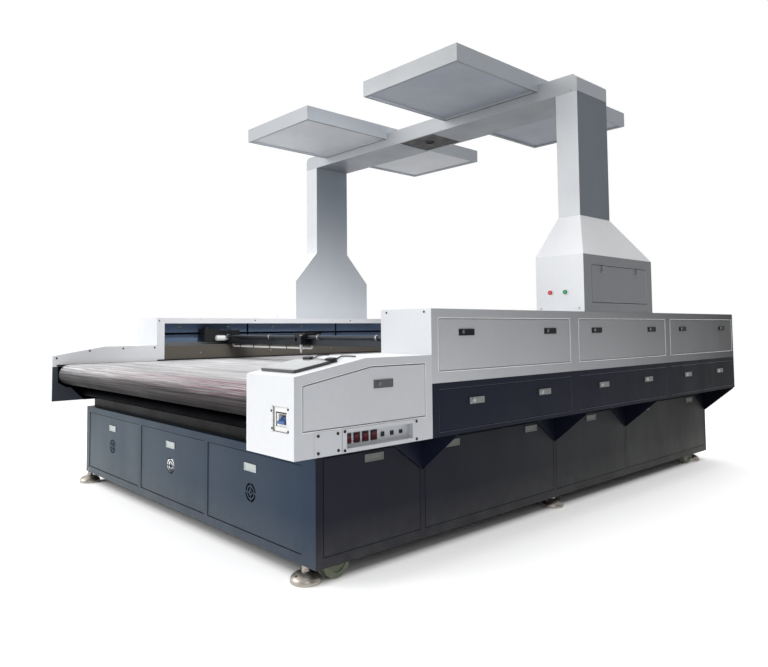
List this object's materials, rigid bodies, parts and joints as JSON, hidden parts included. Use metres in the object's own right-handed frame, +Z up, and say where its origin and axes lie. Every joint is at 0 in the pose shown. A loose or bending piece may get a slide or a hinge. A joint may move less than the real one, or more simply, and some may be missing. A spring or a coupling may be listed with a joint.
{
  "type": "conveyor-bed laser cutting machine",
  "caption": "Large flat-bed laser cutter with a conveyor belt, a gantry with a cutting head, side housings and an overhead lit camera canopy.",
  "frame": {"origin": "on the floor under the middle of the machine", "axes": "+X across the belt towards the side with the control console, +Y along the belt away from the loading end, +Z up"},
  "size_m": [2.58, 3.544, 2.253],
  "materials": {
    "panel_white": "satin",
    "panel_navy": "satin",
    "slate": "satin",
    "steel_dark": "satin",
    "zinc": "satin",
    "chrome": "polished",
    "steel": "brushed",
    "aluminium": "anodised",
    "belt": "woven",
    "polyurethane": "matte",
    "black_plastic": "matte",
    "gloss_black": "gloss",
    "red_plastic": "gloss",
    "green_plastic": "gloss",
    "blue_plastic": "gloss",
    "grey_plastic": "matte",
    "diffuser": "frosted",
    "hose": "matte",
    "tube_glass": "clear",
    "lid_glass": "tinted"
  },
  "bodies": {
    "machine": {"base_cabinet": "panel_navy", "corner_brackets": "panel_navy", "levelling_feet": "zinc", "housing_right": "panel_white", "housing_left": "panel_white", "console_arm_right": "panel_white", "conveyor_arm_left": "panel_white", "camera_post_right": "panel_white", "camera_post_left": "panel_white", "canopy_beam": "panel_white", "light_hoods": "panel_white", "light_diffusers": "diffuser", "camera_unit": "gloss_black", "conveyor_bed": "slate", "conveyor_belt": "belt", "gantry_rails": "steel", "switch_tray": "panel_white", "breaker_block": "grey_plastic", "laser_tube": "tube_glass", "control_unit": "steel", "right_base_cover_1": "panel_navy", "right_base_cover_2": "panel_navy", "right_base_cover_3": "panel_navy", "right_base_cover_4": "panel_navy", "base_cover_pulls": "steel", "lower_covers": "panel_navy", "lower_cover_locks": "chrome", "caster_forks": "steel_dark"},
    "gantry": {"gantry_beam": "aluminium", "gantry_motor": "gloss_black", "air_hose": "hose", "mirror_housing": "grey_plastic"},
    "head": {"head_carriage": "steel_dark"},
    "nozzle": {"laser_nozzle": "steel"},
    "nose_roller": {"nose_roller": "steel"},
    "drive_roller": {"drive_roller": "steel"},
    "front_door_left": {"front_door_left": "slate", "front_pull_left": "steel"},
    "front_door_centre": {"front_door_centre": "slate", "front_pull_centre": "steel"},
    "front_door_right": {"front_door_right": "slate", "front_pull_right": "steel"},
    "upper_door_front": {"upper_door_front": "panel_white", "upper_locks_front": "chrome"},
    "upper_door_middle": {"upper_door_middle": "panel_white", "upper_locks_middle": "chrome"},
    "upper_door_rear": {"upper_door_rear": "panel_white", "upper_locks_rear": "chrome"},
    "console_door": {"console_door": "panel_navy"},
    "console_lid": {"console_lid": "lid_glass"},
    "rocker_1": {"rocker_switch_1": "gloss_black"},
    "rocker_2": {"rocker_switch_2": "gloss_black"},
    "rocker_3": {"rocker_switch_3": "gloss_black"},
    "rocker_4": {"rocker_switch_4": "gloss_black"},
    "breaker_lever": {"breaker_lever": "blue_plastic"},
    "stop_button": {"stop_button": "red_plastic"},
    "run_button": {"run_button": "green_plastic"},
    "post_door": {"post_door": "panel_white"},
    "caster_wheels_front": {"caster_wheels_front": "polyurethane"},
    "caster_wheels_rear": {"caster_wheels_rear": "polyurethane"}
  },
  "joints": [
    {"name": "gantry_travel", "type": "slide", "parent": "machine", "child": "gantry", "axis": [0, 1, 0], "range_m": [-0.33, 2.22]},
    {"name": "head_travel", "type": "slide", "parent": "gantry", "child": "head", "axis": [1, 0, 0], "range_m": [-0.73, 1.05]},
    {"name": "nozzle_focus", "type": "slide", "parent": "head", "child": "nozzle", "axis": [0, 0, 1], "range_m": [-0.03, 0.01]},
    {"name": "drive_roller_spin", "type": "hinge", "parent": "machine", "child": "drive_roller", "pos_m": [0, 1.71, 0.635], "axis": [1, 0, 0], "continuous": true},
    {"name": "nose_roller_spin", "type": "hinge", "parent": "machine", "child": "nose_roller", "pos_m": [0, -1.685, 0.635], "axis": [1, 0, 0], "continuous": true},
    {"name": "front_door_left_hinge", "type": "hinge", "parent": "machine", "child": "front_door_left", "pos_m": [-0.712, -1.542, 0.095], "axis": [1, 0, 0], "range_deg": [0, 90]},
    {"name": "front_door_centre_hinge", "type": "hinge", "parent": "machine", "child": "front_door_centre", "pos_m": [-0.01, -1.542, 0.095], "axis": [1, 0, 0], "range_deg": [0, 90]},
    {"name": "front_door_right_hinge", "type": "hinge", "parent": "machine", "child": "front_door_right", "pos_m": [0.681, -1.542, 0.095], "axis": [1, 0, 0], "range_deg": [0, 90]},
    {"name": "upper_door_front_hinge", "type": "hinge", "parent": "machine", "child": "upper_door_front", "pos_m": [1.286, -0.658, 0.729], "axis": [0, 1, 0], "range_deg": [0, 110]},
    {"name": "upper_door_middle_hinge", "type": "hinge", "parent": "machine", "child": "upper_door_middle", "pos_m": [1.286, 0.326, 0.729], "axis": [0, 1, 0], "range_deg": [0, 110]},
    {"name": "upper_door_rear_hinge", "type": "hinge", "parent": "machine", "child": "upper_door_rear", "pos_m": [1.286, 1.296, 0.729], "axis": [0, 1, 0], "range_deg": [0, 110]},
    {"name": "console_door_hinge", "type": "hinge", "parent": "machine", "child": "console_door", "pos_m": [1.286, -1.463, 0.572], "axis": [0, 1, 0], "range_deg": [0, 100]},
    {"name": "console_lid_hinge", "type": "hinge", "parent": "machine", "child": "console_lid", "pos_m": [1.15, -1.56617, 0.78361], "axis": [-1, 0, 0], "range_deg": [0, 100]},
    {"name": "rocker_1_tilt", "type": "hinge", "parent": "machine", "child": "rocker_1", "pos_m": [1.26, -1.5365, 0.5265], "axis": [0, 1, 0], "range_deg": [-8, 8]},
    {"name": "rocker_2_tilt", "type": "hinge", "parent": "machine", "child": "rocker_2", "pos_m": [1.26, -1.498, 0.5265], "axis": [0, 1, 0], "range_deg": [-8, 8]},
    {"name": "rocker_3_tilt", "type": "hinge", "parent": "machine", "child": "rocker_3", "pos_m": [1.26, -1.4595, 0.5265], "axis": [0, 1, 0], "range_deg": [-8, 8]},
    {"name": "rocker_4_tilt", "type": "hinge", "parent": "machine", "child": "rocker_4", "pos_m": [1.26, -1.421, 0.5265], "axis": [0, 1, 0], "range_deg": [-8, 8]},
    {"name": "breaker_lever_tilt", "type": "hinge", "parent": "machine", "child": "breaker_lever", "pos_m": [1.2125, -1.748, 0.606], "axis": [-1, 0, 0], "range_deg": [0, 40]},
    {"name": "stop_button_press", "type": "slide", "parent": "machine", "child": "stop_button", "axis": [0, 1, 0], "range_m": [0, 0.004], "stiffness_N_per_m": 300},
    {"name": "run_button_press", "type": "slide", "parent": "machine", "child": "run_button", "axis": [0, 1, 0], "range_m": [0, 0.004], "stiffness_N_per_m": 300},
    {"name": "post_door_hinge", "type": "hinge", "parent": "machine", "child": "post_door", "pos_m": [1.284, 0.288, 1.007], "axis": [0, 1, 0], "range_deg": [0, 100]},
    {"name": "front_casters_spin", "type": "hinge", "parent": "machine", "child": "caster_wheels_front", "pos_m": [0, -1.435, 0.063], "axis": [1, 0, 0], "continuous": true},
    {"name": "rear_casters_spin", "type": "hinge", "parent": "machine", "child": "caster_wheels_rear", "pos_m": [0, 1.515, 0.063], "axis": [1, 0, 0], "continuous": true}
  ],
  "couplings": [
    {"joint": "nose_roller_spin", "follows": "drive_roller_spin", "ratio": 1}
  ]
}
